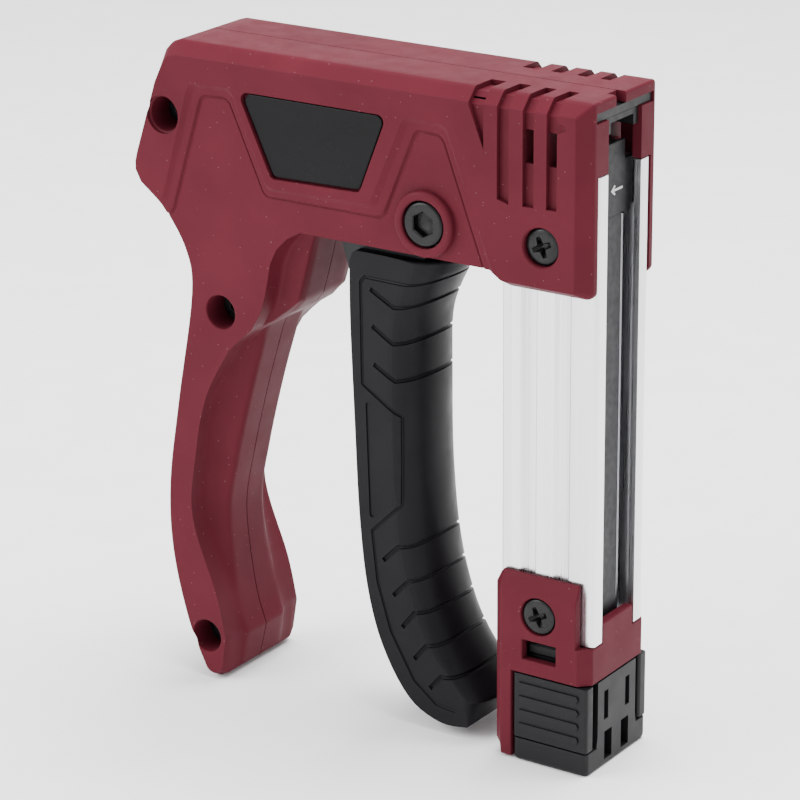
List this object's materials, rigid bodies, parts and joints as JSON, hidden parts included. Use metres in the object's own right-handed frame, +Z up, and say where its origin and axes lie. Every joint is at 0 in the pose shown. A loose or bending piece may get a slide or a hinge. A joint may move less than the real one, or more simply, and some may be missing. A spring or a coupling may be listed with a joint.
{
  "type": "staple gun",
  "caption": "Hand staple gun: moulded pistol body and grip, squeeze lever, and an upright aluminium staple magazine whose drawer pulls out of the foot.",
  "frame": {"origin": "middle of the tool's footprint, on the surface that it stands on", "axes": "+X the way a staple leaves the nose, +Y out of the tool's right side, +Z up along the magazine towards the body"},
  "size_m": [0.1416, 0.0382, 0.1814],
  "materials": {
    "shell_red": "matte moulded plastic, dark red, fine spark texture",
    "black_plastic": "satin moulded plastic, black",
    "lever_black": "satin moulded plastic, black, slightly soft",
    "badge_black": "smooth black plate, blank",
    "aluminium": "extruded and satin anodised, lines along its length",
    "black_steel": "black oxide steel",
    "bare_steel": "bright zinc-plated steel",
    "rubber": "black rubber"
  },
  "bodies": {
    "housing": {"left_shell": "shell_red", "right_shell": "shell_red", "left_badge_plate": "badge_black", "right_badge_plate": "badge_black", "rear_shell_screw": "black_steel", "upper_grip_shell_screw": "black_steel", "lower_grip_shell_screw": "black_steel", "left_nose_screw": "black_steel", "right_nose_screw": "black_steel", "left_end_cap_screw": "black_steel", "right_end_cap_screw": "black_steel", "pivot_sleeve": "bare_steel", "pivot_bolt": "black_steel", "pivot_nut": "black_steel", "magazine_channel": "aluminium", "end_cap": "shell_red", "nose_top_plate": "black_steel", "nose_guide": "black_steel", "hammer_guide": "black_steel", "hammer_bumper": "rubber", "spring_anchor": "bare_steel", "return_spring": "bare_steel"},
    "lever": {"lever_cover": "lever_black", "lever_frame": "black_steel", "pivot_bush": "bare_steel", "yoke_pin": "bare_steel"},
    "striker": {"hammer": "bare_steel", "driver_blade": "bare_steel"},
    "drawer": {"staple_rail": "black_steel", "magazine_cap": "black_plastic", "rail_pin": "bare_steel", "spring_rod": "bare_steel", "pusher_spring": "bare_steel"},
    "follower": {"pusher": "black_plastic"},
    "latch_left": {"left_latch": "black_plastic"},
    "latch_right": {"right_latch": "black_plastic"}
  },
  "joints": [
    {"name": "lever_squeeze", "type": "hinge", "parent": "housing", "child": "lever", "pos_m": [0.0227, 0, 0.144], "axis": [0, 1, 0], "range_deg": [0, 20], "stiffness_Nm_per_rad": 0.8, "springref_deg": -17.19},
    {"name": "hammer_drive", "type": "slide", "parent": "housing", "child": "striker", "axis": [1, 0, 0], "range_m": [0, 0.0087], "deforming": ["return_spring"]},
    {"name": "drawer_slide", "type": "slide", "parent": "housing", "child": "drawer", "axis": [0, 0, -1], "range_m": [0, 0.1]},
    {"name": "pusher_slide", "type": "slide", "parent": "drawer", "child": "follower", "axis": [0, 0, -1], "range_m": [0, 0.085], "stiffness_N_per_m": 60, "springref_m": -0.05, "deforming": ["pusher_spring"]},
    {"name": "left_latch_press", "type": "hinge", "parent": "drawer", "child": "latch_left", "pos_m": [0.05945, -0.01362, 0.0068], "axis": [-1, 0, 0], "range_deg": [0, 4], "stiffness_Nm_per_rad": 0.5, "springref_deg": -5.73},
    {"name": "right_latch_press", "type": "hinge", "parent": "drawer", "child": "latch_right", "pos_m": [0.05945, 0.01362, 0.0068], "axis": [1, 0, 0], "range_deg": [0, 4], "stiffness_Nm_per_rad": 0.5, "springref_deg": -5.73}
  ],
  "couplings": [
    {"joint": "hammer_drive", "follows": "lever_squeeze", "m_per_rad": 0.024495}
  ]
}
